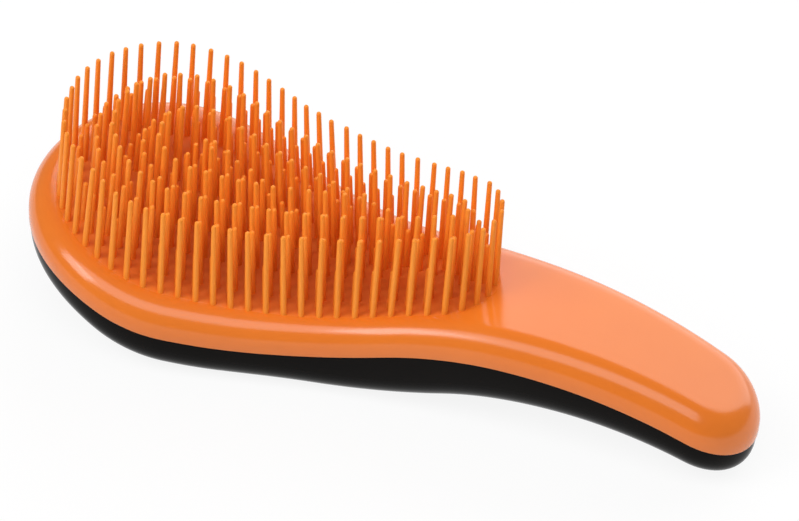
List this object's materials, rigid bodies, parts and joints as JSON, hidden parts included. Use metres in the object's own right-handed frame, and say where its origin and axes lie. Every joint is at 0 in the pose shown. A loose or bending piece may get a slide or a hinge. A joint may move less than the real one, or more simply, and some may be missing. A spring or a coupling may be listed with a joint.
{
  "type": "detangling brush",
  "caption": "Detangling hairbrush with a dished pear-shaped head, an arched handle, a two-shell hollow body and tapered bristles of three lengths.",
  "frame": {"origin": "middle of the brush's length and width, on the plane of the flat land that it rests on", "axes": "+X from the head to the handle end, +Y across the brush, +Z along the bristles, away from the back"},
  "size_m": [0.185, 0.0754, 0.0512],
  "materials": {
    "orange_shell": "smooth glossy moulded plastic, orange",
    "black_shell": "smooth glossy moulded plastic, black",
    "orange_bristle": "smooth satin nylon, orange and slightly lighter than the shell"
  },
  "bodies": {
    "root": {"front_shell": "orange_shell", "back_shell": "black_shell", "bristles_long": "orange_bristle", "bristles_medium": "orange_bristle", "bristles_short": "orange_bristle"}
  },
  "joints": []
}
